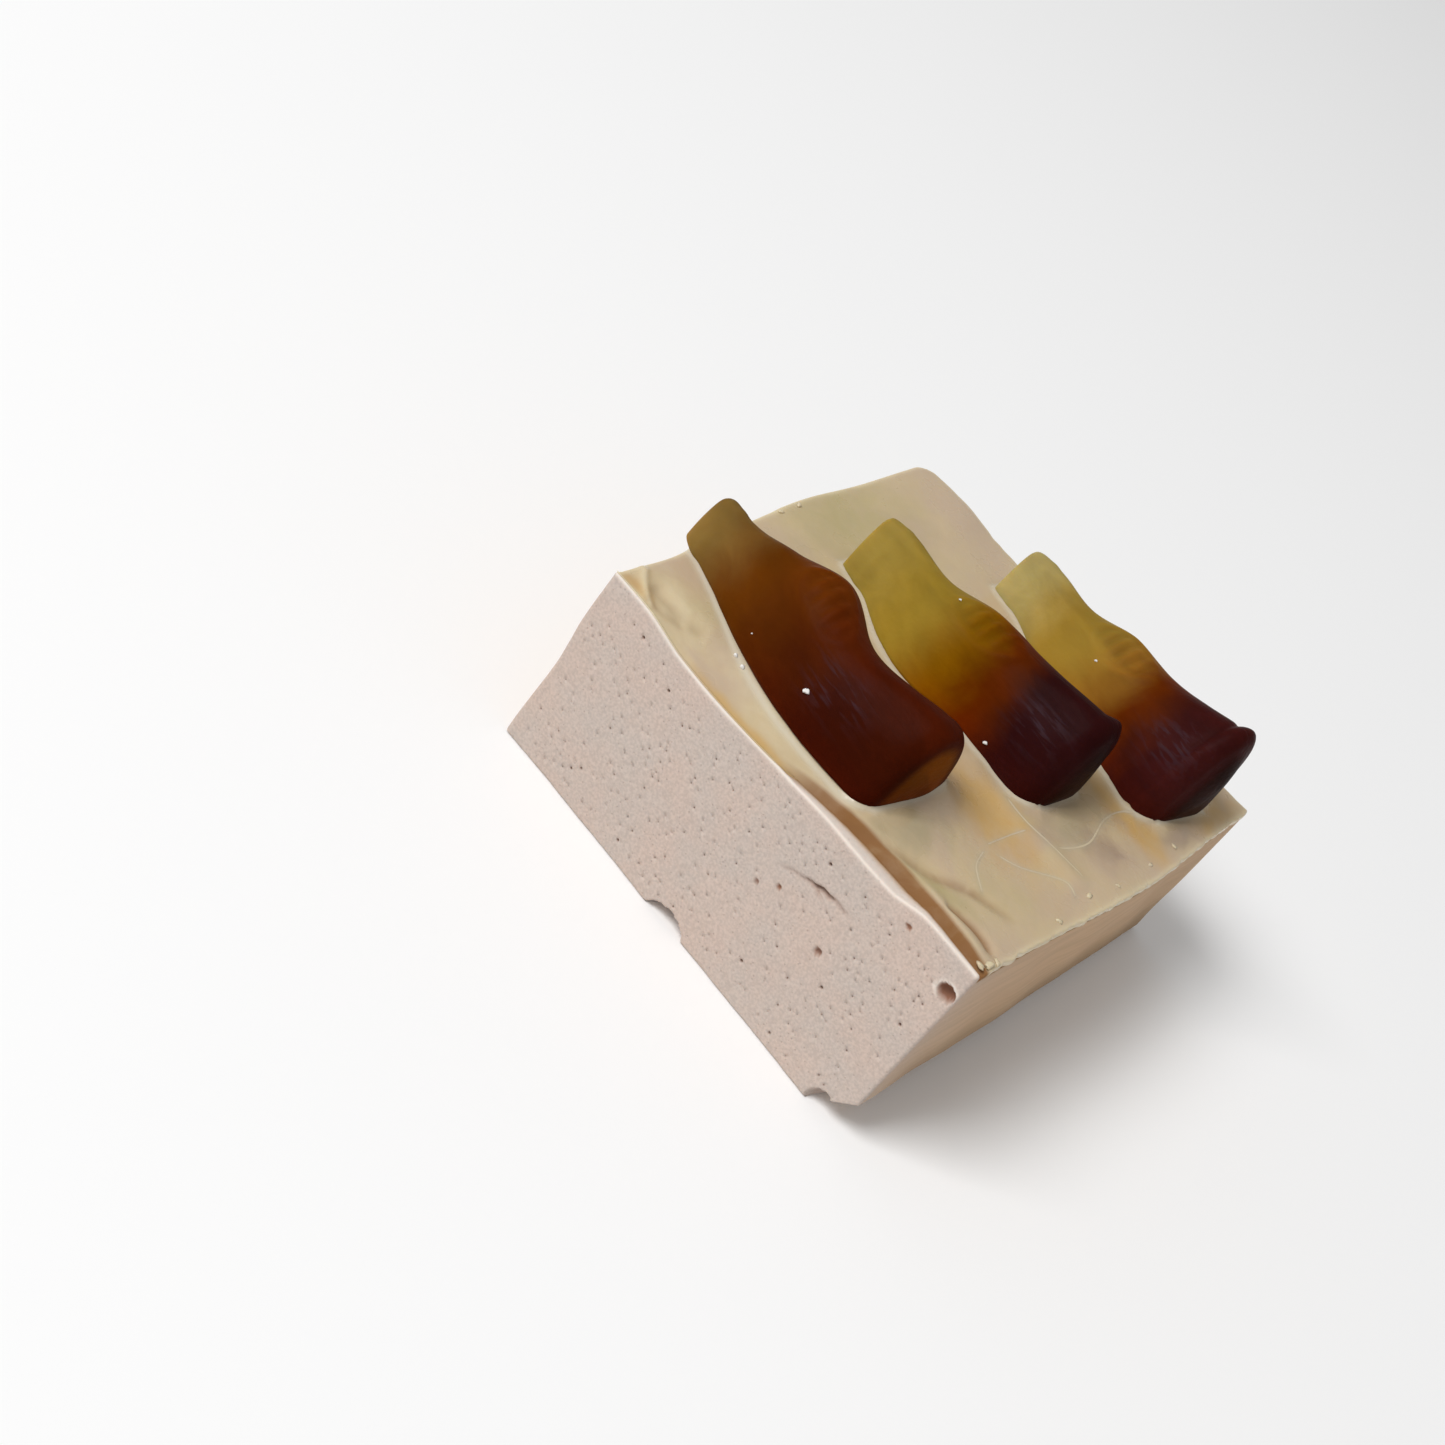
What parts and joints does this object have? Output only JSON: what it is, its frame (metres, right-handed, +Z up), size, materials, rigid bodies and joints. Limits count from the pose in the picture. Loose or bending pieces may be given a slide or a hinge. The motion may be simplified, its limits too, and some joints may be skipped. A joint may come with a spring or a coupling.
{
  "type": "marshmallow slab with gummy bottles",
  "caption": "Hand-cut block of marshmallow with a thin glossy icing on top and gummy bottles lying in a row across it.",
  "frame": {"origin": "middle of the slab's flat base, at the centre of the whole part's box", "axes": "+Z up through the icing, +Y from the porous front cut face to the back, +X to the gummies' feet"},
  "size_m": [0.0666, 0.0745, 0.0431],
  "materials": {
    "marshmallow": "matte aerated foam, cut faces full of tiny pores",
    "icing": "glossy, marbled ivory and caramel",
    "gummy_dark": "translucent satin jelly, brown nearly throughout",
    "gummy_amber": "translucent satin jelly, olive yellow neck to near-black red foot",
    "gummy_gold": "translucent satin jelly, gold neck to dark maroon foot"
  },
  "bodies": {
    "root": {"marshmallow": "marshmallow", "icing": "icing", "gummy_front": "gummy_dark", "gummy_middle": "gummy_amber", "gummy_back": "gummy_gold"}
  },
  "joints": []
}
